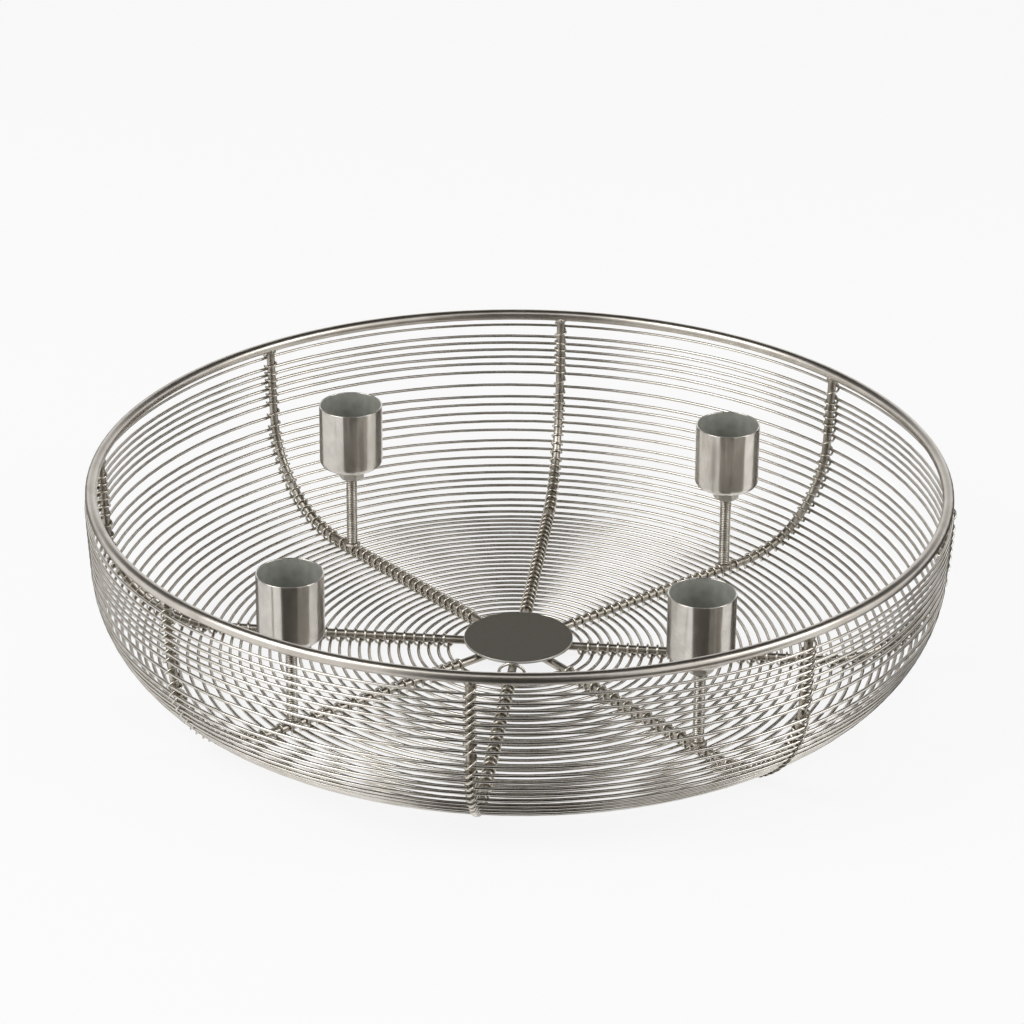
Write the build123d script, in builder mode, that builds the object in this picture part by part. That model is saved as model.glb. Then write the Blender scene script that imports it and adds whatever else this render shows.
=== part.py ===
"""Wire bowl advent candle holder with four candle cups on threaded studs.

The bowl is a rim rod on eight bent ribs. Thin wire is wound round the outside of the ribs, a flat
spiral under the floor and a rising one round the wall. Both are plain sheets one wire thick here,
slotted at the ribs, where a still thinner wire lashes each rib to every turn. Four studs stand on
every second rib, and a cup with a nut brazed under it screws on to each stud.

Lengths are in millimetres, angles in degrees. The origin is the middle of the plane that the bowl
stands on, +Z is up, and the first rib points along +X.
"""

import os
from math import asin, atan2, cos, degrees, dist, hypot, pi, radians, sin, tan

from build123d import *

# Bowl: rim rod, ribs and the line that the rib axes follow
bowl_diameter = 300.0
bowl_height = 69.0
rim_rod_diameter = 4.0
rib_diameter = 3.0
rib_count = 8
rib_inner_radius = 6.0
floor_radius = 107.0
corner_radius = 39.5

# Wound wire: turns under the floor, turns round the wall, and one closed hoop below the rim
ring_wire_diameter = 1.0
floor_winding_radius = 23.0
floor_turns = 24
floor_pitch = 3.5
hoop_below_rim = 2.8
wall_winding_below_hoop = 2.6
wall_step_shares = [
    1.24, 0.96, 1.15, 1.09, 0.89, 0.87, 0.84, 0.92, 1.12, 0.84, 1.19, 1.04,
    0.86, 1.00, 0.82, 1.16, 1.72, 1.06, 0.91, 0.88, 0.86, 0.83, 0.81,
]
wall_turns = len(wall_step_shares)

# Lashings: one loop of thin wire round the rib at each turn, ground flat where the bowl stands
lashing_wire_diameter = 0.7
lashing_reach = 1.7
lashing_slope_share = 0.8
standing_flat_depth = 0.25

# Cover disc over the inner ends of the ribs
disc_diameter = 38.5
disc_thickness = 1.0
disc_edge_round = 0.3

# Studs, cups and the nuts under them
stud_diameter = 4.0
stud_circle_radius = 97.5
stud_step = 2
stud_end_chamfer = 0.5
stud_foot_depth = 0.6
cup_outer_diameter = 23.0
cup_wall = 0.5
cup_height = 24.0
cup_corner_radius = 2.5
cup_lip_round = 0.2
cup_top_height = 61.0
nut_across_flats = 8.0
nut_height = 5.0
nut_corner_angle = 30.0
nut_bore_chamfer = 0.4

# Room between pieces that touch, round the stud in its nut, and above the end of the stud
contact_gap = 0.08
thread_gap = 0.05
stud_end_gap = 0.3

# Samples on each arc of a wire when its gap to itself is measured
samples_per_arc = 4

# The rim rod and the level of the ribs follow from what is stacked under them
rim_radius = (bowl_diameter - rim_rod_diameter) / 2
rim_height = bowl_height - rim_rod_diameter / 2
rib_radius = rib_diameter / 2
ring_wire_offset = rib_radius + contact_gap + ring_wire_diameter / 2
lashing_side = rib_radius + contact_gap + lashing_wire_diameter / 2
lashing_over = ring_wire_offset + (ring_wire_diameter + lashing_wire_diameter) / 2 + contact_gap
rib_height = lashing_over + lashing_wire_diameter / 2 - standing_flat_depth

# The wall is the straight line from the middle of the rim rod that touches the corner bend
bend_rise = rim_height - rib_height - corner_radius
bend_run = rim_radius - floor_radius
wall_turn = degrees(atan2(bend_rise, bend_run) + asin(corner_radius / hypot(bend_run, bend_rise)))
corner_length = corner_radius * radians(wall_turn)
wall_length = (bend_run**2 + bend_rise**2 - corner_radius**2) ** 0.5 - rim_rod_diameter / 2
rib_length = floor_radius + corner_length + wall_length

os.makedirs("parts", exist_ok=True)


def meridian(azimuth):
    """Upright plane through the bowl's axis: local X runs outwards and local Y up."""
    outwards = (cos(radians(azimuth)), sin(radians(azimuth)), 0)
    sideways = (sin(radians(azimuth)), -cos(radians(azimuth)), 0)
    return Plane(origin=(0, 0, 0), x_dir=outwards, z_dir=sideways)


def rib_turn(along):
    """How far the rib has turned upwards, in degrees, at a length along it from the bowl's axis."""
    return min(max(degrees((along - floor_radius) / corner_radius), 0), wall_turn)


def beside_rib(azimuth, along, outwards, sideways):
    """A point near a rib: a length along it, then out of the bowl, then across the rib."""
    turn = radians(rib_turn(along))
    past_corner = max(along - floor_radius - corner_length, 0)
    floor_run = min(along, floor_radius)
    radius = floor_run + (corner_radius + outwards) * sin(turn) + past_corner * cos(turn)
    height = (
        rib_height + corner_radius - (corner_radius + outwards) * cos(turn) + past_corner * sin(turn)
    )
    flat = Vector(radius, sideways, height)
    return flat.rotate(Axis.Z, azimuth)


def rib_direction(azimuth, along, forward, outwards, sideways):
    """A direction near a rib, from its shares along the rib, out of the bowl and across."""
    turn = radians(rib_turn(along))
    flat = Vector(
        forward * cos(turn) + outwards * sin(turn),
        sideways,
        forward * sin(turn) - outwards * cos(turn),
    )
    return flat.rotate(Axis.Z, azimuth).normalized()


def biarc(start, start_way, end, end_way):
    """Draw the two equal-armed arcs that leave start one way and reach end another way."""
    span = end - start
    both = start_way + end_way
    spread = 2 * (1 - start_way.dot(end_way))
    lean = span.dot(both)
    arm = ((lean**2 + spread * span.dot(span)) ** 0.5 - lean) / spread
    first_corner = start + start_way * arm
    second_corner = end - end_way * arm
    middle = (first_corner + second_corner) / 2
    TangentArc(start, middle, tangent=start_way)
    TangentArc(middle, end, tangent=second_corner - first_corner)


def print_own_gap(name, path, wire_diameter, turn_length):
    """Measure on points how near a wire comes to itself, half a turn or more along it."""
    points = []
    for edge in path.edges():
        points += [tuple(edge @ (step / samples_per_arc)) for step in range(samples_per_arc)]
    lengths = [0.0]
    for before, after in zip(points, points[1:]):
        lengths.append(lengths[-1] + dist(before, after))
    nearest = min(
        dist(points[i], points[j])
        for i in range(len(points))
        for j in range(i)
        if lengths[i] - lengths[j] > turn_length / 2
    )
    print(f"{name}: least gap to itself {nearest - wire_diameter:.2f} mm")


# Rim rod, bent to a ring and welded shut
with BuildPart() as rim_ring:
    with BuildSketch(Plane.XZ):
        with Locations((rim_radius, rim_height)):
            Circle(rim_rod_diameter / 2)
    revolve(axis=Axis.Z)
rim_ring.part.label = "rim_ring"
export_step(rim_ring.part, "parts/rim_ring.step")

# Ribs: bent rods whose upper ends are coped to the underside of the rim rod
bend_corner_radius = floor_radius + corner_radius * tan(radians(wall_turn / 2))
rib_azimuths = [number * 360 / rib_count for number in range(rib_count)]
for number, azimuth in enumerate(rib_azimuths, start=1):
    with BuildPart() as rib:
        with BuildLine(meridian(azimuth)) as rib_axis:
            FilletPolyline(
                (rib_inner_radius, rib_height),
                (bend_corner_radius, rib_height),
                (rim_radius, rim_height),
                radius=corner_radius,
            )
        with BuildSketch(Plane(rib_axis.line @ 0, z_dir=rib_axis.line % 0)):
            Circle(rib_radius)
        sweep()
        with BuildSketch(meridian(azimuth)):
            with Locations((rim_radius, rim_height)):
                Circle(rim_rod_diameter / 2 + contact_gap)
        revolve(axis=Axis.Z, mode=Mode.SUBTRACT)
    rib.part.label = f"rib_{number}"
    export_step(rib.part, f"parts/rib_{number}.step")

# Hoop: the closed top turn of the wall, outside the ribs just below the rim
hoop_along = rib_length - hoop_below_rim
hoop_place = beside_rib(0, hoop_along, ring_wire_offset, 0)
with BuildPart() as top_hoop:
    with BuildSketch(Plane.XZ):
        with Locations((hoop_place.X, hoop_place.Z)):
            Circle(ring_wire_diameter / 2)
    revolve(axis=Axis.Z)
top_hoop.part.label = "top_hoop"
export_step(top_hoop.part, "parts/top_hoop.step")

# Floor winding: a flat spiral under the ribs, as a sheet with a slot along each rib
floor_wire_height = rib_height - ring_wire_offset


def floor_crossings(azimuth):
    """Where the floor winding passes under the rib at this azimuth, from the bowl's axis."""
    half_turns = int(azimuth // 180)
    inside_half = radians(azimuth - 180 * half_turns)
    first = floor_winding_radius + half_turns * floor_pitch / 2
    first += (1 - cos(inside_half)) * floor_pitch / 4
    return [first + turn * floor_pitch for turn in range(floor_turns)]


def stud_radius(azimuth):
    """Each stud stands over the turn of the floor winding that lies nearest to the stud circle."""
    return min(floor_crossings(azimuth), key=lambda crossing: abs(crossing - stud_circle_radius))


floor_sheet_inner_radius = floor_winding_radius - floor_pitch
floor_sheet_outer_radius = floor_winding_radius + floor_turns * floor_pitch + ring_wire_diameter / 2
floor_slot_start = floor_winding_radius - lashing_reach - lashing_wire_diameter / 2 - contact_gap
floor_slot_length = bowl_diameter / 2 - floor_slot_start
lashing_slot = 2 * (lashing_side + lashing_wire_diameter / 2 + contact_gap)
with BuildPart() as floor_winding:
    with BuildSketch(Plane.XY.offset(floor_wire_height - ring_wire_diameter / 2)):
        Circle(floor_sheet_outer_radius)
        Circle(floor_sheet_inner_radius, mode=Mode.SUBTRACT)
        with PolarLocations(floor_slot_start + floor_slot_length / 2, rib_count):
            Rectangle(floor_slot_length, lashing_slot, mode=Mode.SUBTRACT)
    extrude(amount=ring_wire_diameter)
floor_winding.part.label = "floor_winding"
export_step(floor_winding.part, "parts/floor_winding.step")

# Wall winding: a rising spiral in uneven steps, as a sheet outside the ribs with the same slots
wall_winding_start = floor_radius + floor_pitch
wall_winding_end = hoop_along - wall_winding_below_hoop
wall_step = (wall_winding_end - wall_winding_start) / sum(wall_step_shares)


def wall_winding_along(turns):
    """Length along the ribs that the wall winding has reached after this many turns."""
    whole = min(int(turns), wall_turns - 1)
    steps = sum(wall_step_shares[:whole]) + wall_step_shares[whole] * (turns - whole)
    return wall_winding_start + wall_step * steps


sheet_inner_offset = ring_wire_offset - ring_wire_diameter / 2
sheet_outer_offset = ring_wire_offset + ring_wire_diameter / 2
sheet_start_angle = rib_turn(wall_winding_start) - 90
sheet_bend = wall_turn - rib_turn(wall_winding_start)
with BuildPart() as wall_winding:
    with BuildSketch(meridian(0)):
        with BuildLine():
            bend_centre = (floor_radius, rib_height + corner_radius)
            inner_bend = CenterArc(
                bend_centre, corner_radius + sheet_inner_offset, sheet_start_angle, sheet_bend
            )
            outer_bend = CenterArc(
                bend_centre, corner_radius + sheet_outer_offset, sheet_start_angle, sheet_bend
            )
            inner_end = beside_rib(0, wall_winding_end, sheet_inner_offset, 0)
            outer_end = beside_rib(0, wall_winding_end, sheet_outer_offset, 0)
            Line(inner_bend @ 0, outer_bend @ 0)
            Polyline(
                inner_bend @ 1,
                (inner_end.X, inner_end.Z),
                (outer_end.X, outer_end.Z),
                outer_bend @ 1,
            )
        make_face()
    revolve(axis=Axis.Z)
    with BuildSketch():
        with PolarLocations(bowl_diameter / 2, rib_count):
            Rectangle(bowl_diameter / 2, lashing_slot)
    extrude(amount=bowl_height, mode=Mode.SUBTRACT)
wall_winding.part.label = "wall_winding"
export_step(wall_winding.part, "parts/wall_winding.step")


# Lashings: each loop slants over one turn of the winding and goes square round the rib inside it
stud_room = (stud_diameter + lashing_wire_diameter) / 2 + contact_gap


def lashing_knots(azimuth, crossings, stud_at):
    """Places and directions of a lashing: beside, over, beside and inside the rib at each turn."""
    knots = []
    for index, crossing in enumerate(crossings):
        knots.append((crossing - lashing_reach, 0, -lashing_side, (0, 1, 0)))
        knots.append((crossing, lashing_over, 0, (lashing_slope_share, 0, 1)))
        knots.append((crossing + lashing_reach, 0, lashing_side, (0, -1, 0)))
        if index + 1 < len(crossings):
            inside = (crossing + crossings[index + 1]) / 2
            if stud_at is not None and abs(inside - stud_at) < stud_room:
                inside = stud_at + (stud_room if inside > stud_at else -stud_room)
            drift = crossings[index + 1] - crossing - 2 * lashing_reach
            knots.append((inside, -lashing_side, 0, (drift / (pi * lashing_side), 0, -1)))
    return [
        (
            beside_rib(azimuth, along, outwards, sideways),
            rib_direction(azimuth, along, *way),
        )
        for along, outwards, sideways, way in knots
    ]


for number, azimuth in enumerate(rib_azimuths, start=1):
    bears_stud = number % stud_step == 0
    wall_crossings = [wall_winding_along(turn + azimuth / 360) for turn in range(wall_turns)]
    wall_crossings.append(hoop_along)
    for place, crossings in (("floor", floor_crossings(azimuth)), ("wall", wall_crossings)):
        knots = lashing_knots(azimuth, crossings, stud_radius(azimuth) if bears_stud else None)
        with BuildPart() as lashing:
            with BuildLine() as lashing_path:
                for before, after in zip(knots, knots[1:]):
                    biarc(*before, *after)
            with BuildSketch(Plane(lashing_path.line @ 0, z_dir=lashing_path.line % 0)):
                Circle(lashing_wire_diameter / 2)
            sweep()
            if place == "floor":
                split(bisect_by=Plane.XY, keep=Keep.TOP)
        print_own_gap(
            f"{place}_lashing_{number}",
            lashing_path,
            lashing_wire_diameter,
            2 * pi * lashing_side,
        )
        lashing.part.label = f"{place}_lashing_{number}"
        export_step(lashing.part, f"parts/{place}_lashing_{number}.step")

# Cover disc: a plain sheet disc on top of the ribs, over their inner ends
disc_height = rib_height + rib_radius + contact_gap
with BuildPart() as cover_disc:
    with BuildSketch(Plane.XY.offset(disc_height)):
        Circle(disc_diameter / 2)
    extrude(amount=disc_thickness)
    fillet(cover_disc.edges(), disc_edge_round)
cover_disc.part.label = "cover_disc"
export_step(cover_disc.part, "parts/cover_disc.step")

# Cups and nuts hang together; each stud reaches from its rib nearly to the cup's underside
cup_bottom_height = cup_top_height - cup_height
nut_bottom_height = cup_bottom_height - nut_height
stud_foot_height = rib_height + rib_radius - stud_foot_depth
stud_top_height = cup_bottom_height - stud_end_gap
nut_bore_radius = stud_diameter / 2 + thread_gap
nut_corner_radius = nut_across_flats / 2 / cos(radians(30))
nut_corner_drop = (nut_corner_radius - nut_across_flats / 2) * tan(radians(nut_corner_angle))
cup_radius = cup_outer_diameter / 2

for number, azimuth in enumerate(rib_azimuths[stud_step - 1 :: stud_step], start=1):
    stand = Vector(stud_radius(azimuth), 0, 0).rotate(Axis.Z, azimuth)
    foot_plane = Plane(origin=(stand.X, stand.Y, stud_foot_height))
    cup_plane = Plane(origin=(stand.X, stand.Y, cup_bottom_height))
    nut_plane = Plane(origin=(stand.X, stand.Y, nut_bottom_height))

    with BuildPart() as stud:
        with BuildSketch(foot_plane):
            Circle(stud_diameter / 2)
        extrude(amount=stud_top_height - stud_foot_height)
        chamfer(stud.edges().sort_by(Axis.Z)[-1], stud_end_chamfer)
        with BuildSketch(Plane(origin=(stand.X, stand.Y, rib_height), z_dir=stand)):
            Circle(rib_radius + contact_gap)
        extrude(amount=stud_diameter, both=True, mode=Mode.SUBTRACT)
    stud.part.label = f"stud_{number}"
    export_step(stud.part, f"parts/stud_{number}.step")

    with BuildPart() as candle_cup:
        with BuildSketch(cup_plane):
            Circle(cup_radius)
        extrude(amount=cup_height)
        fillet(candle_cup.edges().sort_by(Axis.Z)[0], cup_corner_radius)
        offset(amount=-cup_wall, openings=candle_cup.faces().sort_by(Axis.Z)[-1])
        lip_edges = candle_cup.edges().group_by(Axis.Z)[-1]
        fillet(lip_edges, cup_lip_round)
    candle_cup.part.label = f"candle_cup_{number}"
    export_step(candle_cup.part, f"parts/candle_cup_{number}.step")

    with BuildPart() as cup_nut:
        with BuildSketch(nut_plane):
            RegularPolygon(nut_across_flats / 2, 6, major_radius=False)
        extrude(amount=nut_height)
        with BuildSketch(Plane(origin=(stand.X, stand.Y, 0), x_dir=(1, 0, 0), z_dir=(0, -1, 0))):
            with BuildLine():
                Polyline(
                    (0, nut_bottom_height),
                    (nut_across_flats / 2, nut_bottom_height),
                    (nut_corner_radius, nut_bottom_height + nut_corner_drop),
                    (nut_corner_radius, cup_bottom_height),
                    (0, cup_bottom_height),
                    close=True,
                )
            make_face()
        revolve(axis=Axis((stand.X, stand.Y, 0), (0, 0, 1)), mode=Mode.INTERSECT)
        with Locations(nut_plane):
            Hole(nut_bore_radius, nut_height)
        bore_edges = cup_nut.edges().filter_by(GeomType.CIRCLE).sort_by(SortBy.RADIUS)
        chamfer(bore_edges.group_by(SortBy.RADIUS)[0].sort_by(Axis.Z)[0], nut_bore_chamfer)
    cup_nut.part.label = f"cup_nut_{number}"
    export_step(cup_nut.part, f"parts/cup_nut_{number}.step")
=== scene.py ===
"""Wire bowl advent candle holder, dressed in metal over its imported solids. Lengths are in metres."""

from math import asin, atan2, cos, hypot, pi, radians, sin

import bmesh
import bpy
from mathutils import Matrix, Vector, noise


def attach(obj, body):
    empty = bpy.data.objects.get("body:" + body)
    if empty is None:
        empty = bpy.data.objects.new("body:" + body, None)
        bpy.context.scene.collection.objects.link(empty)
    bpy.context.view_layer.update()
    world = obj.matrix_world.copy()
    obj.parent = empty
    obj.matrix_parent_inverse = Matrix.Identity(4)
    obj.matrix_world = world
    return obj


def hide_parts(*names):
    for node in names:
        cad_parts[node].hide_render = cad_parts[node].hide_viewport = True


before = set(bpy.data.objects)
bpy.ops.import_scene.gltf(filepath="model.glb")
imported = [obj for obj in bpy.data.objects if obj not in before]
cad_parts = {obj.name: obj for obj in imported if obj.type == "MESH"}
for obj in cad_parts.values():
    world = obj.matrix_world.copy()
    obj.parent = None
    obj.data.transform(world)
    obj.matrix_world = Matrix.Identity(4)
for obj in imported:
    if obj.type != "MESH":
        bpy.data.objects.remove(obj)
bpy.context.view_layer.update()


# Rim ring: a 4 mm steel rod bent to a ring, welded shut and nickel plated.
# The plating is bright, with faint marks from drawing and a duller cloud here and there.
rim_rod_radius = 0.002
rim_radius = 0.148
rim_height = 0.067
rim_clean = (0.64, 0.60, 0.545, 1)
rim_dull = (0.50, 0.46, 0.405, 1)
mark_strength = 0.6

plating = bpy.data.node_groups.new("plating", "ShaderNodeTree")
for socket_name, socket_type in (
    ("Clean", "NodeSocketColor"),
    ("Dull", "NodeSocketColor"),
    ("Cloud Scale", "NodeSocketFloat"),
    ("Mark Scale", "NodeSocketFloat"),
    ("Smooth", "NodeSocketFloat"),
    ("Rough", "NodeSocketFloat"),
):
    plating.interface.new_socket(name=socket_name, in_out="INPUT", socket_type=socket_type)
for socket_name, socket_type in (
    ("Color", "NodeSocketColor"),
    ("Roughness", "NodeSocketFloat"),
    ("Height", "NodeSocketFloat"),
):
    plating.interface.new_socket(name=socket_name, in_out="OUTPUT", socket_type=socket_type)
plating_in = plating.nodes.new("NodeGroupInput")
plating_out = plating.nodes.new("NodeGroupOutput")
plating_place = plating.nodes.new("ShaderNodeTexCoord")
plating_cloud = plating.nodes.new("ShaderNodeTexNoise")
plating_cloud.inputs["Detail"].default_value = 5
plating_cloud_range = plating.nodes.new("ShaderNodeMapRange")
plating_cloud_range.inputs["From Min"].default_value = 0.42
plating_cloud_range.inputs["From Max"].default_value = 0.72
plating_marks = plating.nodes.new("ShaderNodeTexNoise")
plating_marks.inputs["Detail"].default_value = 3
plating_colour = plating.nodes.new("ShaderNodeMix")
plating_colour.data_type = "RGBA"
plating_rough = plating.nodes.new("ShaderNodeMapRange")
join = plating.links.new
join(plating_place.outputs["Object"], plating_cloud.inputs["Vector"])
join(plating_place.outputs["Object"], plating_marks.inputs["Vector"])
join(plating_in.outputs["Cloud Scale"], plating_cloud.inputs["Scale"])
join(plating_in.outputs["Mark Scale"], plating_marks.inputs["Scale"])
join(plating_cloud.outputs["Fac"], plating_cloud_range.inputs["Value"])
join(plating_cloud_range.outputs["Result"], plating_colour.inputs["Factor"])
join(plating_in.outputs["Clean"], plating_colour.inputs["A"])
join(plating_in.outputs["Dull"], plating_colour.inputs["B"])
join(plating_marks.outputs["Fac"], plating_rough.inputs["Value"])
join(plating_in.outputs["Smooth"], plating_rough.inputs["To Min"])
join(plating_in.outputs["Rough"], plating_rough.inputs["To Max"])
join(plating_colour.outputs["Result"], plating_out.inputs["Color"])
join(plating_rough.outputs["Result"], plating_out.inputs["Roughness"])
join(plating_marks.outputs["Fac"], plating_out.inputs["Height"])


def plated_metal(name, clean, dull, cloud_scale, mark_scale, smooth, rough, mark_depth):
    """A metal finish whose clouds, marks and roughness come from the plating group."""
    finish = bpy.data.materials.new(name)
    finish.use_nodes = True
    tree = finish.node_tree
    shader = tree.nodes["Principled BSDF"]
    shader.inputs["Metallic"].default_value = 1
    wear = tree.nodes.new("ShaderNodeGroup")
    wear.node_tree = plating
    wear.inputs["Clean"].default_value = clean
    wear.inputs["Dull"].default_value = dull
    wear.inputs["Cloud Scale"].default_value = cloud_scale
    wear.inputs["Mark Scale"].default_value = mark_scale
    wear.inputs["Smooth"].default_value = smooth
    wear.inputs["Rough"].default_value = rough
    marks = tree.nodes.new("ShaderNodeBump")
    marks.inputs["Distance"].default_value = mark_depth
    marks.inputs["Strength"].default_value = mark_strength
    tree.links.new(wear.outputs["Color"], shader.inputs["Base Color"])
    tree.links.new(wear.outputs["Roughness"], shader.inputs["Roughness"])
    tree.links.new(wear.outputs["Height"], marks.inputs["Height"])
    tree.links.new(marks.outputs["Normal"], shader.inputs["Normal"])
    return finish


def finish_node(node, finish):
    """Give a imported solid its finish."""
    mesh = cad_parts[node].data
    mesh.materials.clear()
    mesh.materials.append(finish)


rim_finish = plated_metal(
    "rim_nickel",
    rim_clean,
    rim_dull,
    cloud_scale=90,
    mark_scale=1800,
    smooth=0.24,
    rough=0.36,
    mark_depth=0.00001,
)
finish_node("rim_ring", rim_finish)


# Ribs: eight 3 mm rods bent from the middle of the floor up the wall, butt welded under the rim.
# Their plating is duller and browner than the rim's, and each weld leaves a small rough bump.
rib_radius = 0.0015
rib_count = 8
rib_height = 0.00311
floor_radius = 0.107
corner_radius = 0.0395
rib_clean = (0.49, 0.455, 0.40, 1)
rib_dull = (0.31, 0.285, 0.24, 1)
weld_length = 0.0016
weld_width = 0.0021
weld_roughness = 0.0005
bead_grain = 900

bend_rise = rim_height - rib_height - corner_radius
bend_run = rim_radius - floor_radius
wall_turn = atan2(bend_rise, bend_run) + asin(corner_radius / hypot(bend_run, bend_rise))
corner_length = corner_radius * wall_turn
wall_length = (bend_run**2 + bend_rise**2 - corner_radius**2) ** 0.5 - rim_rod_radius
rib_length = floor_radius + corner_length + wall_length


def rib_turn(along):
    """How far the rib has turned upwards at a length along it from the bowl's axis."""
    return min(max((along - floor_radius) / corner_radius, 0), wall_turn)


def around(azimuth, radius, sideways, height):
    """A point turned about the bowl's axis."""
    across, beside = cos(azimuth), sin(azimuth)
    return Vector((radius * across - sideways * beside, radius * beside + sideways * across, height))


def beside_rib(azimuth, along, outwards, sideways):
    """A point near a rib: a length along it, then out of the bowl, then across the rib."""
    turn = rib_turn(along)
    past_corner = max(along - floor_radius - corner_length, 0)
    radius = min(along, floor_radius) + (corner_radius + outwards) * sin(turn) + past_corner * cos(turn)
    height = rib_height + corner_radius - (corner_radius + outwards) * cos(turn) + past_corner * sin(turn)
    return around(azimuth, radius, sideways, height)


def rib_way(azimuth, along, forward, outwards, sideways):
    """A direction near a rib, from its shares along the rib, out of the bowl and across."""
    turn = rib_turn(along)
    radius = forward * cos(turn) + outwards * sin(turn)
    height = forward * sin(turn) - outwards * cos(turn)
    return around(azimuth, radius, sideways, height).normalized()


def new_piece(name, mesh, finish, body, place=(0, 0, 0)):
    """Show a finished mesh as a piece that rides on a body."""
    mesh.materials.append(finish)
    mesh.shade_smooth()
    piece = bpy.data.objects.new(name, mesh)
    piece.location = place
    bpy.context.scene.collection.objects.link(piece)
    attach(piece, body)
    return piece


def add_bead(shape, place, along, radii, roughness):
    """Add a lump of weld metal, long side along a direction, with an uneven skin."""
    turn = along.to_track_quat("Z", "Y").to_matrix().to_4x4()
    sized = Matrix.Translation(place) @ turn @ Matrix.Diagonal((*radii, 1))
    made = bmesh.ops.create_icosphere(shape, subdivisions=3, radius=1, matrix=sized)
    for vert in made["verts"]:
        out = (vert.co - place).normalized()
        vert.co += out * roughness * noise.noise(vert.co * bead_grain)


rib_finish = plated_metal(
    "rib_nickel",
    rib_clean,
    rib_dull,
    cloud_scale=260,
    mark_scale=2200,
    smooth=0.24,
    rough=0.44,
    mark_depth=0.00006,
)
rib_azimuths = [number * 2 * pi / rib_count for number in range(rib_count)]
weld_shape = bmesh.new()
for number, azimuth in enumerate(rib_azimuths, start=1):
    finish_node(f"rib_{number}", rib_finish)
    add_bead(
        weld_shape,
        beside_rib(azimuth, rib_length + weld_length / 4, 0, 0),
        rib_way(azimuth, rib_length, 1, 0, 0),
        (weld_width, weld_width, weld_length),
        weld_roughness,
    )
weld_mesh = bpy.data.meshes.new("rim_welds")
weld_shape.to_mesh(weld_mesh)
weld_shape.free()
weld_finish = plated_metal(
    "weld_nickel",
    rib_clean,
    rib_dull,
    cloud_scale=700,
    mark_scale=2600,
    smooth=0.25,
    rough=0.5,
    mark_depth=0.00012,
)
new_piece("rim_welds", weld_mesh, weld_finish, "bowl")


# Hoop and wound wire: 1 mm plated wire, a flat spiral under the floor and a rising one up the wall,
# with one closed hoop below the rim. It is wound by hand, so it strays a little between the ribs.
# The spirals are shown a little thicker than the wire that sets their places.
wire_radius = 0.0005
wire_shown_radius = 0.00057
contact_gap = 0.00008
wire_offset = rib_radius + contact_gap + wire_radius
wire_clean = (0.67, 0.64, 0.59, 1)
wire_dull = (0.52, 0.485, 0.43, 1)
wire_sides = 8
steps_per_turn = 96
wire_stray = 0.00035
floor_swing_spread = 2
wall_swing_spread = 2.2
wall_swing_step = 3.1


def ring_faces(rings, sides):
    """Faces that join rings of points to a tube and close both of its ends."""
    faces = [tuple(reversed(range(sides))), tuple(range((rings - 1) * sides, rings * sides))]
    for ring in range(rings - 1):
        for step in range(sides):
            after = (step + 1) % sides
            faces.append((
                ring * sides + step,
                ring * sides + after,
                (ring + 1) * sides + after,
                (ring + 1) * sides + step,
            ))
    return faces


def wire_mesh(name, line, radius, sides):
    """A round wire along a line of points, closed at both ends."""
    count = len(line)
    ways = [(line[min(i + 1, count - 1)] - line[max(i - 1, 0)]).normalized() for i in range(count)]
    side = ways[0].orthogonal().normalized()
    verts = []
    for place, way in zip(line, ways):
        side = (side - way * side.dot(way)).normalized()
        up = way.cross(side)
        for step in range(sides):
            angle = 2 * pi * step / sides
            verts.append(place + (side * cos(angle) + up * sin(angle)) * radius)
    mesh = bpy.data.meshes.new(name)
    mesh.from_pydata(verts, [], ring_faces(count, sides))
    mesh.validate()
    return mesh


def stray_share(azimuth):
    """Nothing at a rib, where the wire is tied, and one midway between two ribs."""
    return sin(azimuth * rib_count / 2) ** 2


def smooth_line(knots, steps):
    """Points of a smooth line through a few knots."""
    line = []
    for i in range(len(knots) - 1):
        before, start = knots[max(i - 1, 0)], knots[i]
        end, after = knots[i + 1], knots[min(i + 2, len(knots) - 1)]
        for step in range(steps):
            t = step / steps
            line.append(
                0.5 * (
                    2 * start
                    + (end - before) * t
                    + (2 * before - 5 * start + 4 * end - after) * t**2
                    + (3 * start - before - 3 * end + after) * t**3
                )
            )
    return line + [knots[-1]]


wire_finish = plated_metal(
    "wire_nickel",
    wire_clean,
    wire_dull,
    cloud_scale=120,
    mark_scale=2600,
    smooth=0.17,
    rough=0.25,
    mark_depth=0.000003,
)
finish_node("top_hoop", wire_finish)

# Floor winding: half circles on two centres, so that each turn lies one pitch outside the last.
# Its inner end comes up beside the disc and hooks over the front rib.
floor_inner_radius = 0.023
floor_turns = 24
floor_pitch = 0.0035
floor_wire_height = rib_height - wire_offset
half_steps = steps_per_turn // 2
hook_radius = 0.0219
hook_end_step = 29
hook_knots = ((-0.0047, 0.0014), (-0.0038, 0.0045), (0, 0.0063), (0.0037, 0.0044), (0.0051, 0.0017))

floor_line = []
for half in range(-1, 2 * floor_turns):
    side = 1 - 2 * (half % 2)
    start_radius = floor_inner_radius + half * floor_pitch / 2
    arc_radius = start_radius + floor_pitch / 4
    centre = Vector((side * (start_radius - arc_radius), 0, floor_wire_height))
    for step in range(hook_end_step if half < 0 else 0, half_steps):
        azimuth = pi * (step / half_steps + half % 2)
        way = Vector((cos(azimuth), sin(azimuth), 0))
        swing = noise.noise(Vector((half // 2, way.x * floor_swing_spread, way.y * floor_swing_spread)))
        radius = arc_radius + wire_stray * stray_share(azimuth) * swing
        floor_line.append(centre + way * radius)
floor_line.append(Vector((floor_inner_radius + floor_turns * floor_pitch, 0, floor_wire_height)))
hook = [Vector((across, -hook_radius, height)) for across, height in hook_knots]
floor_line = smooth_line(hook + floor_line[:1], half_steps // 6)[:-1] + floor_line
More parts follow.
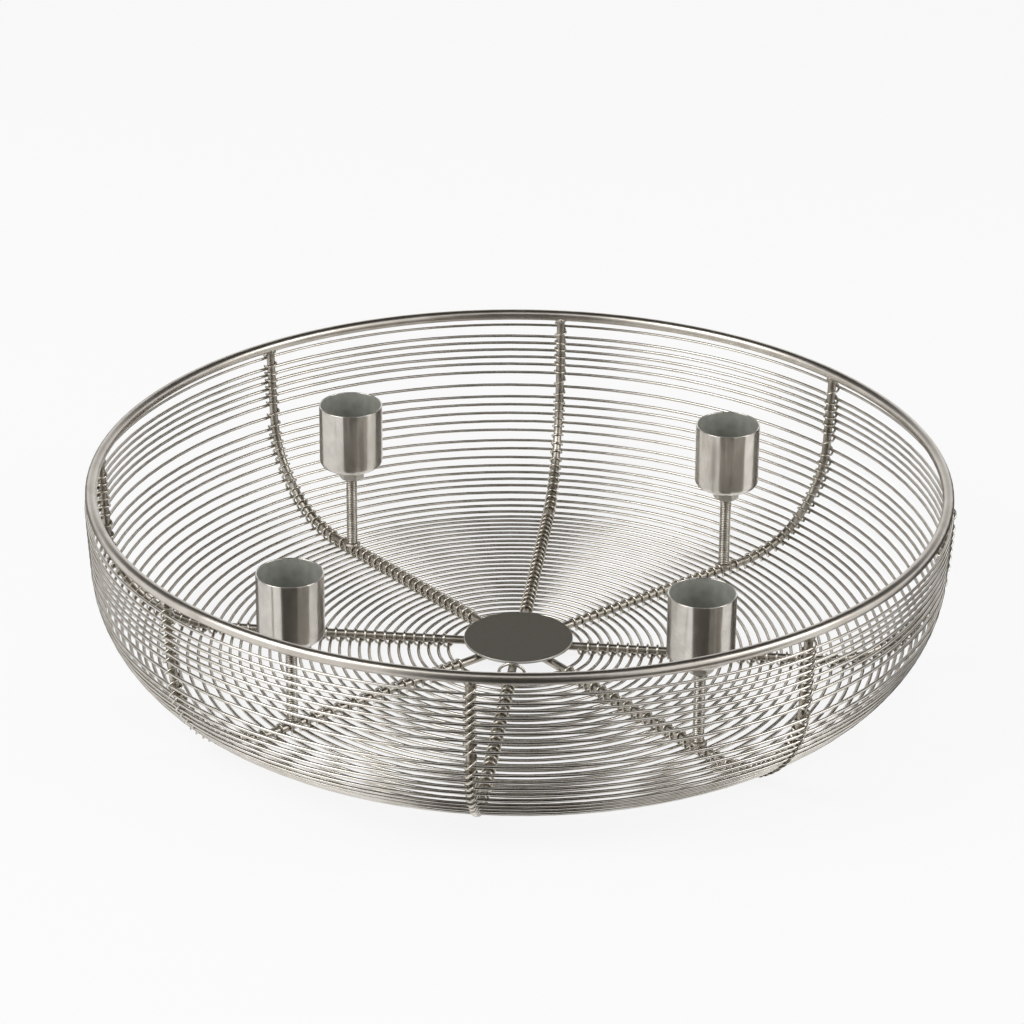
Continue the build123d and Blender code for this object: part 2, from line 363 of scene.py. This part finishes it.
floor_wire = new_piece(
    "floor_winding_wire",
    wire_mesh("floor_winding_wire", floor_line, wire_shown_radius, wire_sides),
    wire_finish,
    "bowl",
)
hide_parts("floor_winding")

# Wall winding: the same wire goes on round the corner and climbs the outside of the ribs.
# Its steps are uneven, with the widest about a quarter of the way down from the rim. Its first turn
# goes on from the end of the floor winding at the pitch of that winding.
hoop_below_rib_end = 0.0028
wall_below_hoop = 0.0026
hoop_along = rib_length - hoop_below_rib_end
wall_start = floor_radius + floor_pitch
wall_end = hoop_along - wall_below_hoop
wall_step_shares = (
    1.24, 0.96, 1.15, 1.09, 0.89, 0.87, 0.84, 0.92, 1.12, 0.84, 1.19, 1.04,
    0.86, 1.00, 0.82, 1.16, 1.72, 1.06, 0.91, 0.88, 0.86, 0.83, 0.81,
)
wall_turns = len(wall_step_shares)
wall_step = (wall_end - wall_start) / sum(wall_step_shares)


def wall_along(turns):
    """Length along the ribs that the wall winding has reached after this many turns."""
    if turns < 0:
        return wall_start + floor_pitch * turns
    whole = min(int(turns), wall_turns - 1)
    passed = sum(wall_step_shares[:whole]) + wall_step_shares[whole] * (turns - whole)
    return wall_start + wall_step * passed


wall_line = []
for step in range(-steps_per_turn, wall_turns * steps_per_turn + 1):
    turns = step / steps_per_turn
    azimuth = 2 * pi * turns
    swing_x = cos(azimuth) * wall_swing_spread
    swing_y = sin(azimuth) * wall_swing_spread
    swing = noise.noise(Vector((step // steps_per_turn * wall_swing_step, swing_x, swing_y)))
    stray = wire_stray * stray_share(azimuth) * swing
    wall_line.append(beside_rib(azimuth, wall_along(turns) + stray, wire_offset, 0))
wall_wire = new_piece(
    "wall_winding_wire",
    wire_mesh("wall_winding_wire", wall_line, wire_shown_radius, wire_sides),
    wire_finish,
    "bowl",
)
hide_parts("wall_winding")


# Lashings: 0.7 mm soft wire that ties each rib to every turn it meets, a slanting stitch over the
# turn and a square hoop round the rib. Under the floor the stitches are pressed flat by standing, and
# on the wall the outermost are pressed in. They are shown thicker than the wire that sets their places.
lashing_radius = 0.00035
lashing_shown_radius = 0.00042
lashing_outer_limit = 0.151
lashing_sides = 7
lashing_reach = 0.0017
lashing_slope_share = 0.8
lashing_side = rib_radius + contact_gap + lashing_radius
lashing_over = wire_offset + wire_radius + contact_gap + lashing_radius
lashing_clean = (0.70, 0.665, 0.60, 1)
lashing_dull = (0.46, 0.425, 0.365, 1)
steps_per_arc = 4
azimuth_slack = 1e-9
stud_radius = 0.002
stud_circle_radius = 0.0975
stud_room = stud_radius + lashing_radius + contact_gap


def floor_crossings(azimuth):
    """Where the floor winding passes under the rib at this azimuth, from the bowl's axis."""
    half_turns = int((azimuth + azimuth_slack) // pi)
    first = floor_inner_radius + half_turns * floor_pitch / 2
    first += (1 - cos(azimuth - pi * half_turns)) * floor_pitch / 4
    return [first + turn * floor_pitch for turn in range(floor_turns)]


def stud_place(azimuth):
    """Radius of a stud, over the turn of the floor winding that is nearest to the stud circle."""
    return min(floor_crossings(azimuth), key=lambda crossing: abs(crossing - stud_circle_radius))


def arc_points(start, corner, end):
    """Points of the arc that touches both arms of an even corner, without its end."""
    weight = (end - start).length / (2 * (corner - start).length)
    points = []
    for step in range(steps_per_arc):
        t = step / steps_per_arc
        shares = ((1 - t) ** 2, 2 * weight * t * (1 - t), t**2)
        points.append((start * shares[0] + corner * shares[1] + end * shares[2]) / sum(shares))
    return points


def lashing_line(azimuth, crossings, stud_at):
    """Line of a lashing: beside, over, beside and inside the rib at each turn it ties."""
    knots = []
    for index, crossing in enumerate(crossings):
        knots.append((crossing - lashing_reach, 0, -lashing_side, (0, 1, 0)))
        knots.append((crossing, lashing_over, 0, (lashing_slope_share, 0, 1)))
        knots.append((crossing + lashing_reach, 0, lashing_side, (0, -1, 0)))
        if index + 1 < len(crossings):
            inside = (crossing + crossings[index + 1]) / 2
            if stud_at is not None and abs(inside - stud_at) < stud_room:
                inside = stud_at + (stud_room if inside > stud_at else -stud_room)
            drift = crossings[index + 1] - crossing - 2 * lashing_reach
            knots.append((inside, -lashing_side, 0, (drift / (pi * lashing_side), 0, -1)))
    places = [beside_rib(azimuth, along, outwards, sideways) for along, outwards, sideways, way in knots]
    ways = [rib_way(azimuth, along, *way) for along, outwards, sideways, way in knots]
    line = []
    for start, start_way, end, end_way in zip(places, ways, places[1:], ways[1:]):
        span = end - start
        spread = 2 * (1 - start_way.dot(end_way))
        lean = span.dot(start_way + end_way)
        arm = ((lean**2 + spread * span.dot(span)) ** 0.5 - lean) / spread
        first_corner = start + start_way * arm
        second_corner = end - end_way * arm
        middle = (first_corner + second_corner) / 2
        line += arc_points(start, first_corner, middle) + arc_points(middle, second_corner, end)
    return line + [places[-1]]


lashing_finish = plated_metal(
    "lashing_nickel",
    lashing_clean,
    lashing_dull,
    cloud_scale=500,
    mark_scale=3000,
    smooth=0.1,
    rough=0.26,
    mark_depth=0.000006,
)
for number, azimuth in enumerate(rib_azimuths, start=1):
    stud_at = stud_place(azimuth) if number % 2 == 0 else None
    wall_crossings = [wall_along(turn + azimuth / (2 * pi)) for turn in range(-1, wall_turns)]
    wall_crossings.append(hoop_along)
    for place, crossings in (("floor", floor_crossings(azimuth)), ("wall", wall_crossings)):
        node = f"{place}_lashing_{number}"
        line = lashing_line(azimuth, crossings, stud_at)
        mesh = wire_mesh(node + "_wire", line, lashing_shown_radius, lashing_sides)
        for vert in mesh.vertices:
            vert.co.z = max(vert.co.z, 0)
            vert.co.xy *= min(1, lashing_outer_limit / hypot(vert.co.x, vert.co.y))
        lashing = new_piece(node + "_wire", mesh, lashing_finish, "bowl")
        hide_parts(node)


# Cover disc: a plain sheet steel disc on the inner ends of the ribs, taken to be spot welded there.
# It is dull dark grey, with the bare edge of the sheet showing bright.
disc_radius = 0.01925
disc_edge_start = 0.0003
disc_edge_full = 0.0001
disc_dark = (0.105, 0.094, 0.076, 1)
disc_light = (0.14, 0.127, 0.104, 1)
disc_edge = (0.62, 0.6, 0.56, 1)

disc_finish = bpy.data.materials.new("disc_steel")
disc_finish.use_nodes = True
disc_tree = disc_finish.node_tree
disc_shader = disc_tree.nodes["Principled BSDF"]
disc_shader.inputs["Metallic"].default_value = 0.5
disc_place = disc_tree.nodes.new("ShaderNodeTexCoord")
disc_flat = disc_tree.nodes.new("ShaderNodeVectorMath")
disc_flat.operation = "MULTIPLY"
disc_flat.inputs[1].default_value = (1, 1, 0)
disc_reach = disc_tree.nodes.new("ShaderNodeVectorMath")
disc_reach.operation = "LENGTH"
disc_edge_mask = disc_tree.nodes.new("ShaderNodeMapRange")
disc_edge_mask.inputs["From Min"].default_value = disc_radius - disc_edge_start
disc_edge_mask.inputs["From Max"].default_value = disc_radius - disc_edge_full
disc_cloud = disc_tree.nodes.new("ShaderNodeTexNoise")
disc_cloud.inputs["Scale"].default_value = 700
disc_cloud.inputs["Detail"].default_value = 6
disc_tone = disc_tree.nodes.new("ShaderNodeMix")
disc_tone.data_type = "RGBA"
disc_tone.inputs["A"].default_value = disc_dark
disc_tone.inputs["B"].default_value = disc_light
disc_colour = disc_tree.nodes.new("ShaderNodeMix")
disc_colour.data_type = "RGBA"
disc_colour.inputs["B"].default_value = disc_edge
disc_rough = disc_tree.nodes.new("ShaderNodeMapRange")
disc_rough.inputs["To Min"].default_value = 0.55
disc_rough.inputs["To Max"].default_value = 0.25
join = disc_tree.links.new
join(disc_place.outputs["Object"], disc_flat.inputs[0])
join(disc_flat.outputs["Vector"], disc_reach.inputs[0])
join(disc_reach.outputs["Value"], disc_edge_mask.inputs["Value"])
join(disc_place.outputs["Object"], disc_cloud.inputs["Vector"])
join(disc_cloud.outputs["Fac"], disc_tone.inputs["Factor"])
join(disc_tone.outputs["Result"], disc_colour.inputs["A"])
join(disc_edge_mask.outputs["Result"], disc_colour.inputs["Factor"])
join(disc_edge_mask.outputs["Result"], disc_rough.inputs["Value"])
join(disc_colour.outputs["Result"], disc_shader.inputs["Base Color"])
join(disc_rough.outputs["Result"], disc_shader.inputs["Roughness"])
finish_node("cover_disc", disc_finish)


# Studs: lengths of M4 threaded rod, plated, each welded upright on every second rib.
# The thread runs the whole length, with its roots painted near black as painted shade for the grooves,
# and a rough bead of weld closes the foot.
thread_pitch = 0.0007
thread_depth = 0.00042
thread_crest_rise = 1.3
thread_columns = 24
rows_per_pitch = 6
stud_clean = (0.70, 0.66, 0.59, 1)
stud_dull = (0.36, 0.33, 0.28, 1)
# Painted shade: the near-black colour that the thread roots get, standing in for the shadow in the
# grooves.
stud_root_painted_shade = (0.045, 0.04, 0.033, 1)
stud_foot = 0.00401
stud_top = 0.0367
stud_weld_radii = (0.0029, 0.0029, 0.0011)
stud_weld_roughness = 0.0006


def threaded_rod(name, low, high):
    """A rod with a right-hand thread cut along it, closed at both ends, on its own axis."""
    rows = round((high - low) / thread_pitch * rows_per_pitch)
    verts = []
    for row in range(rows + 1):
        height = low + (high - low) * row / rows
        for column in range(thread_columns):
            share = (height / thread_pitch - column / thread_columns) % 1
            ridge = 1 - abs(2 * share - 1)
            radius = stud_radius - thread_depth * (1 - min(1, ridge * thread_crest_rise))
            angle = 2 * pi * column / thread_columns
            verts.append((radius * cos(angle), radius * sin(angle), height))
    mesh = bpy.data.meshes.new(name)
    mesh.from_pydata(verts, [], ring_faces(rows + 1, thread_columns))
    return mesh


stud_finish = plated_metal(
    "stud_nickel",
    stud_clean,
    stud_dull,
    cloud_scale=300,
    mark_scale=2400,
    smooth=0.2,
    rough=0.38,
    mark_depth=0.00003,
)
# Painted shade: the colour goes from the plating at the crests to near black at the roots, by distance
# from the stud's axis.
stud_tree = stud_finish.node_tree
stud_local = stud_tree.nodes.new("ShaderNodeTexCoord")
stud_flat = stud_tree.nodes.new("ShaderNodeVectorMath")
stud_flat.operation = "MULTIPLY"
stud_flat.inputs[1].default_value = (1, 1, 0)
stud_reach = stud_tree.nodes.new("ShaderNodeVectorMath")
stud_reach.operation = "LENGTH"
stud_groove_shade_mask = stud_tree.nodes.new("ShaderNodeMapRange")
stud_groove_shade_mask.inputs["From Min"].default_value = stud_radius - thread_depth
stud_groove_shade_mask.inputs["From Max"].default_value = stud_radius - thread_depth / 4
stud_tone_and_shade = stud_tree.nodes.new("ShaderNodeMix")
stud_tone_and_shade.data_type = "RGBA"
stud_tone_and_shade.inputs["A"].default_value = stud_root_painted_shade
stud_tree.links.new(stud_local.outputs["Object"], stud_flat.inputs[0])
stud_tree.links.new(stud_flat.outputs["Vector"], stud_reach.inputs[0])
stud_tree.links.new(stud_reach.outputs["Value"], stud_groove_shade_mask.inputs["Value"])
stud_tree.links.new(stud_groove_shade_mask.outputs["Result"], stud_tone_and_shade.inputs["Factor"])
stud_tree.links.new(stud_tree.nodes["Group"].outputs["Color"], stud_tone_and_shade.inputs["B"])
stud_tree.links.new(stud_tone_and_shade.outputs["Result"], stud_tree.nodes["Principled BSDF"].inputs["Base Color"])
stud_azimuths = rib_azimuths[1::2]
for number, azimuth in enumerate(stud_azimuths, start=1):
    foot = around(azimuth, stud_place(azimuth), 0, 0)
    mesh = threaded_rod(f"stud_{number}_thread", stud_foot, stud_top)
    stud = new_piece(f"stud_{number}_thread", mesh, stud_finish, "bowl", foot)
    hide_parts(f"stud_{number}")
    weld_shape = bmesh.new()
    weld_place = foot + Vector((0, 0, rib_height + rib_radius))
    add_bead(weld_shape, weld_place, Vector((0, 0, 1)), stud_weld_radii, stud_weld_roughness)
    weld_mesh = bpy.data.meshes.new(f"stud_{number}_weld")
    weld_shape.to_mesh(weld_mesh)
    weld_shape.free()
    new_piece(f"stud_{number}_weld", weld_mesh, weld_finish, "bowl")


# Nuts: tall hexagon nuts, 8 mm across flats, brazed under the cups; their size and fixing are guessed.
# They are plated with the cups and turn with them on the studs.
nut_clean = (0.86, 0.83, 0.77, 1)
nut_dull = (0.72, 0.68, 0.61, 1)

nut_finish = plated_metal(
    "nut_nickel",
    nut_clean,
    nut_dull,
    cloud_scale=300,
    mark_scale=2400,
    smooth=0.34,
    rough=0.46,
    mark_depth=0.000008,
)
for number in range(1, len(stud_azimuths) + 1):
    finish_node(f"cup_nut_{number}", nut_finish)


# Candle cups: drawn from thin sheet, nickel plated and polished outside with fine brush lines round
# them. Inside, the plating is thin and dull grey green. The lip is rounded and as bright as the outside.
cup_radius = 0.0115
cup_wall = 0.0005
cup_bottom = 0.037
cup_top = 0.061
cup_corner = 0.0025
cup_row_low = 0.008
cup_row_high = 0.016
cup_middle_radius = 0.0001
cup_clean = (0.77, 0.74, 0.69, 1)
cup_dull = (0.67, 0.635, 0.58, 1)
cup_inside = (0.36, 0.37, 0.33, 1)
cup_inside_light = (0.46, 0.47, 0.42, 1)
corner_steps = 8
round_steps = 64


def turned_mesh(name, profile):
    """A shape turned on a lathe from a profile of radius and height, closed at both ends."""
    verts = []
    for radius, height in profile:
        for step in range(round_steps):
            angle = 2 * pi * step / round_steps
            verts.append((radius * cos(angle), radius * sin(angle), height))
    mesh = bpy.data.meshes.new(name)
    mesh.from_pydata(verts, [], ring_faces(len(profile), round_steps))
    return mesh


cup_finish = plated_metal(
    "cup_nickel",
    cup_clean,
    cup_dull,
    cloud_scale=160,
    mark_scale=2600,
    smooth=0.18,
    rough=0.25,
    mark_depth=0.000008,
)
cup_shader = cup_finish.node_tree.nodes["Principled BSDF"]
cup_shader.inputs["Anisotropic"].default_value = 0.85
cup_shader.inputs["Anisotropic Rotation"].default_value = 0.25
inside_finish = bpy.data.materials.new("cup_inside")
inside_finish.use_nodes = True
inside_tree = inside_finish.node_tree
inside_shader = inside_tree.nodes["Principled BSDF"]
inside_shader.inputs["Metallic"].default_value = 0.35
inside_wear = inside_tree.nodes.new("ShaderNodeGroup")
inside_wear.node_tree = plating
inside_wear.inputs["Clean"].default_value = cup_inside_light
inside_wear.inputs["Dull"].default_value = cup_inside
inside_wear.inputs["Cloud Scale"].default_value = 350
inside_wear.inputs["Mark Scale"].default_value = 1500
inside_wear.inputs["Smooth"].default_value = 0.42
inside_wear.inputs["Rough"].default_value = 0.62
inside_tree.links.new(inside_wear.outputs["Color"], inside_shader.inputs["Base Color"])
inside_tree.links.new(inside_wear.outputs["Roughness"], inside_shader.inputs["Roughness"])

cup_profile = [(cup_middle_radius, cup_bottom)]
for step in range(corner_steps + 1):
    angle = pi / 2 * step / corner_steps
    cup_profile.append((
        cup_radius - cup_corner + cup_corner * sin(angle),
        cup_bottom + cup_corner - cup_corner * cos(angle),
    ))
cup_profile += [(cup_radius, cup_bottom + row) for row in (cup_row_low, cup_row_high)]
lip_radius = cup_wall / 2
for step in range(corner_steps + 1):
    angle = pi * step / corner_steps
    cup_profile.append((
        cup_radius - lip_radius + lip_radius * cos(angle),
        cup_top - lip_radius + lip_radius * sin(angle),
    ))
inside_row = len(cup_profile)
inner_corner = cup_corner - cup_wall
cup_profile += [(cup_radius - cup_wall, cup_bottom + row) for row in (cup_row_high, cup_row_low)]
for step in range(corner_steps + 1):
    angle = pi / 2 * (1 - step / corner_steps)
    cup_profile.append((
        cup_radius - cup_corner + inner_corner * sin(angle),
        cup_bottom + cup_corner - inner_corner * cos(angle),
    ))
cup_profile.append((cup_middle_radius, cup_bottom + cup_wall))
for number, azimuth in enumerate(stud_azimuths, start=1):
    mesh = turned_mesh(f"candle_cup_{number}_shell", cup_profile)
    mesh.materials.append(cup_finish)
    mesh.materials.append(inside_finish)
    for face in mesh.polygons:
        face.use_smooth = True
        if min(face.vertices) // round_steps >= inside_row - 1:
            face.material_index = 1
    cup = bpy.data.objects.new(f"candle_cup_{number}_shell", mesh)
    bpy.context.scene.collection.objects.link(cup)
    cup.location = around(azimuth, stud_place(azimuth), 0, 0)
    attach(cup, f"cup_{number}")
    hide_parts(f"candle_cup_{number}")


# Studio: a pale floor that goes over into a white background, two soft lamps, and dark cards.
# The cards stand round the bowl, reach below the floor and hang over it. Only the polish of the
# metal shows them, and it does not show the floor.
camera_turn = radians(6)
camera_height = radians(25.48)
camera_distance = 1.4
camera_aim = Vector((-0.0026, 0, 0.0544))
camera_roll = radians(0.41)
focal_pixels = 4023.3
picture_pixels = 1024
floor_white_share = 0.85
floor_half_width = 8
sky_fill = 0.5

studio_turn = Matrix.Rotation(camera_turn, 4, "Z")


def stage_sheet(name, corners, finish):
    """A flat sheet of the studio, turned to face as the camera does."""
    mesh = bpy.data.meshes.new(name)
    mesh.from_pydata([studio_turn @ Vector(corner) for corner in corners], [], [(0, 1, 2, 3)])
    mesh.materials.append(finish)
    sheet = bpy.data.objects.new(name, mesh)
    bpy.context.scene.collection.objects.link(sheet)
    return sheet


floor_finish = bpy.data.materials.new("studio_floor")
floor_finish.use_nodes = True
floor_tree = floor_finish.node_tree
floor_shader = floor_tree.nodes["Principled BSDF"]
floor_shader.inputs["Base Color"].default_value = (0.86, 0.86, 0.86, 1)
floor_shader.inputs["Roughness"].default_value = 0.9
floor_shader.inputs["Specular IOR Level"].default_value = 0
floor_glow = floor_tree.nodes.new("ShaderNodeEmission")
floor_rays = floor_tree.nodes.new("ShaderNodeLightPath")
floor_share = floor_tree.nodes.new("ShaderNodeMath")
floor_share.operation = "MULTIPLY"
floor_share.inputs[1].default_value = floor_white_share
floor_mix = floor_tree.nodes.new("ShaderNodeMixShader")
join = floor_tree.links.new
join(floor_rays.outputs["Is Camera Ray"], floor_share.inputs[0])
join(floor_share.outputs["Value"], floor_mix.inputs["Fac"])
join(floor_shader.outputs["BSDF"], floor_mix.inputs[1])
join(floor_glow.outputs["Emission"], floor_mix.inputs[2])
join(floor_mix.outputs["Shader"], floor_tree.nodes["Material Output"].inputs["Surface"])
corner_signs = ((-1, -1), (1, -1), (1, 1), (-1, 1))
floor_corners = [(x * floor_half_width, y * floor_half_width, 0) for x, y in corner_signs]
studio_floor = stage_sheet("studio_floor", floor_corners, floor_finish)
studio_floor.visible_glossy = False

card_dark = (0.035, 0.03, 0.024, 1)
card_brown = (0.26, 0.24, 0.21, 1)
card_grey = (0.3, 0.285, 0.26, 1)
card_height = 1.5
card_low_top = 0.12
card_depth = 1.5
card_front_depth = 4
above_half_width = 3.5
above_near = -0.6
above_far = 2.4


def stage_card(name, shade, corners):
    """A dull card that shows only in the polish of the metal."""
    finish = bpy.data.materials.new(name)
    finish.use_nodes = True
    finish.node_tree.nodes["Principled BSDF"].inputs["Base Color"].default_value = shade
    finish.node_tree.nodes["Principled BSDF"].inputs["Roughness"].default_value = 1
    card = stage_sheet(name, corners, finish)
    card.visible_camera = False
    card.visible_diffuse = False
    card.visible_shadow = False


for name, shade, left, right, depth, top in (
    ("card_front", card_dark, (-0.72, -1.3), (0.61, -1.37), card_front_depth, card_height),
    ("card_right", card_brown, (0.61, -1.37), (1.37, -0.61), card_depth, card_low_top),
    ("card_far_right", card_dark, (1.54, 0.44), (0.7, 1.44), card_depth, card_low_top),
    ("card_left", card_grey, (-1.31, 0.92), (-0.2, 1.59), card_depth, card_low_top),
):
    stage_card(
        name,
        shade,
        ((*left, -depth), (*right, -depth), (*right, top), (*left, top)),
    )
stage_card(
    "card_above",
    card_dark,
    (
        (-above_half_width, above_near, card_height),
        (above_half_width, above_near, card_height),
        (above_half_width, above_far, card_height),
        (-above_half_width, above_far, card_height),
    ),
)

for name, place, width, power in (
    ("lamp_left", (-1.1, -0.5, 1.1), 1.0, 11),
    ("lamp_right", (1.2, -0.3, 0.9), 0.7, 5),
):
    lamp = bpy.data.lights.new(name, "AREA")
    lamp.size = width
    lamp.energy = power
    stand = bpy.data.objects.new(name, lamp)
    bpy.context.scene.collection.objects.link(stand)
    stand.location = studio_turn @ Vector(place)
    stand.rotation_euler = (-stand.location).to_track_quat("-Z", "Y").to_euler()

sky = bpy.data.worlds.new("studio_sky")
bpy.context.scene.world = sky
sky.use_nodes = True
sky_tree = sky.node_tree
sky_soft = sky_tree.nodes["Background"]
sky_soft.inputs["Color"].default_value = (1, 1, 1, 1)
sky_soft.inputs["Strength"].default_value = sky_fill
sky_white = sky_tree.nodes.new("ShaderNodeBackground")
sky_white.inputs["Color"].default_value = (1, 1, 1, 1)
sky_rays = sky_tree.nodes.new("ShaderNodeLightPath")
sky_seen = sky_tree.nodes.new("ShaderNodeMath")
sky_seen.operation = "MAXIMUM"
sky_mix = sky_tree.nodes.new("ShaderNodeMixShader")
join = sky_tree.links.new
join(sky_rays.outputs["Is Camera Ray"], sky_seen.inputs[0])
join(sky_rays.outputs["Is Glossy Ray"], sky_seen.inputs[1])
join(sky_seen.outputs["Value"], sky_mix.inputs["Fac"])
join(sky_soft.outputs["Background"], sky_mix.inputs[1])
join(sky_white.outputs["Background"], sky_mix.inputs[2])
join(sky_mix.outputs["Shader"], sky_tree.nodes["World Output"].inputs["Surface"])

camera = bpy.data.objects.new("camera", bpy.data.cameras.new("camera"))
bpy.context.scene.collection.objects.link(camera)
bpy.context.scene.camera = camera
camera.data.sensor_width = 36
camera.data.lens = focal_pixels / picture_pixels * camera.data.sensor_width
camera_back = Vector((0, -cos(camera_height), sin(camera_height))) * camera_distance
camera_place = Matrix.Translation(camera_aim + camera_back)
camera_tilt = Matrix.Rotation(pi / 2 - camera_height, 4, "X")
camera.matrix_world = studio_turn @ camera_place @ camera_tilt @ Matrix.Rotation(camera_roll, 4, "Z")

bpy.context.scene.view_settings.view_transform = "Standard"
